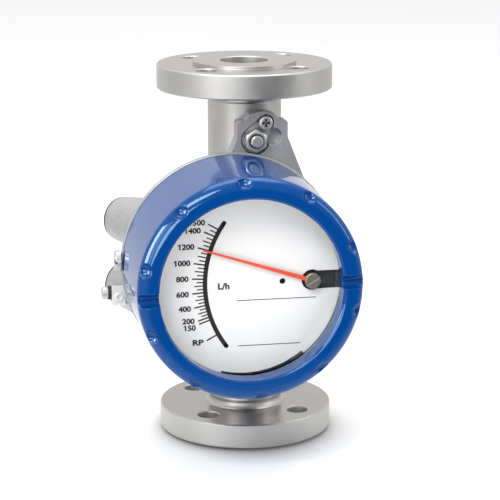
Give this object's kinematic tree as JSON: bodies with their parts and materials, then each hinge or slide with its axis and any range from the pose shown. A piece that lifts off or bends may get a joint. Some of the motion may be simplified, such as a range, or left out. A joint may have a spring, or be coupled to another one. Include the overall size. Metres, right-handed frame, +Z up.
{
  "type": "metal-tube rotameter",
  "caption": "Flanged metal-tube variable-area flow meter with a round magnetic dial indicator under a blue screwed cover.",
  "frame": {"origin": "centre of the lower flange's sealing face, on the tube's axis", "axes": "+Z up the tube in the direction of flow; the indicator's dial looks towards -Y; +X to the right as seen from the dial"},
  "size_m": [0.1562, 0.1775, 0.25],
  "materials": {
    "stainless_steel": "satin turned and bead-blasted stainless steel",
    "machined_steel": "fine turned stainless steel",
    "bright_steel": "bright stainless steel",
    "weld_metal": "smooth weld bead, light heat tint",
    "cast_grey": "die-cast aluminium, light grey coat",
    "plug_metal": "plain grey coated plug",
    "ring_metal": "plain sheet and turned aluminium",
    "blue_enamel": "glossy blue enamel over die-cast aluminium",
    "hub_metal": "dull dark plated brass",
    "brass_parts": "plain turned brass",
    "magnet_metal": "plated magnet",
    "black_rubber": "matt black rubber",
    "black_plastic": "matt dark grey plastic",
    "dial_white": "matt off-white printed sheet",
    "pointer_red": "satin red-orange paint on sheet",
    "window_glass": "clear flat glass"
  },
  "bodies": {
    "meter": {"lower_flange": "stainless_steel", "upper_flange": "stainless_steel", "measuring_tube": "stainless_steel", "weld_seams": "weld_metal", "measuring_cone": "machined_steel", "lower_guide": "machined_steel", "upper_guide": "machined_steel", "retaining_rings": "machined_steel", "tube_lugs": "stainless_steel", "bracket_studs": "bright_steel", "bracket_nuts": "bright_steel", "clamp_strap": "bright_steel", "lower_bracket_washer": "bright_steel", "clamp_screw": "bright_steel", "rear_housing": "cast_grey", "entry_seals": "black_rubber", "entry_plugs": "plug_metal", "cover_lock_screw": "bright_steel", "earth_plate": "bright_steel", "earth_screw": "bright_steel", "earth_washer": "black_rubber", "earth_bolt": "bright_steel", "cover_oring": "black_rubber", "movement_base": "ring_metal", "base_screws": "bright_steel", "movement_pillars": "brass_parts", "front_bridge": "black_plastic", "shaft_bushes": "brass_parts", "scale_plate": "dial_white"},
    "float": {"float_body": "machined_steel", "float_magnet": "magnet_metal", "float_tail": "machined_steel"},
    "pointer": {"pointer": "pointer_red", "pointer_hub": "hub_metal", "pointer_shaft": "machined_steel", "follower_arm": "ring_metal", "follower_magnet": "magnet_metal", "balance_weight": "brass_parts"},
    "window": {"window_glass": "window_glass", "window_gasket": "black_rubber", "window_ring": "ring_metal"},
    "cover": {"front_cover": "blue_enamel"}
  },
  "joints": [
    {"name": "float_slide", "type": "slide", "parent": "meter", "child": "float", "axis": [0, 0, 1], "range_m": [-0.0355, 0.0127]},
    {"name": "pointer_turn", "type": "hinge", "parent": "meter", "child": "pointer", "pos_m": [0.025, -0.0975, 0.125], "axis": [0, 1, 0], "range_deg": [-44.8, 16.1]},
    {"name": "cover_lift", "type": "slide", "parent": "meter", "child": "window", "axis": [0, -1, 0], "range_m": [0, 0.08]},
    {"name": "cover_turn", "type": "hinge", "parent": "window", "child": "cover", "pos_m": [-0.0165, -0.12, 0.125], "axis": [0, -1, 0], "continuous": true}
  ],
  "couplings": [
    {"joint": "pointer_turn", "follows": "float_slide", "rad_per_m": 22}
  ]
}
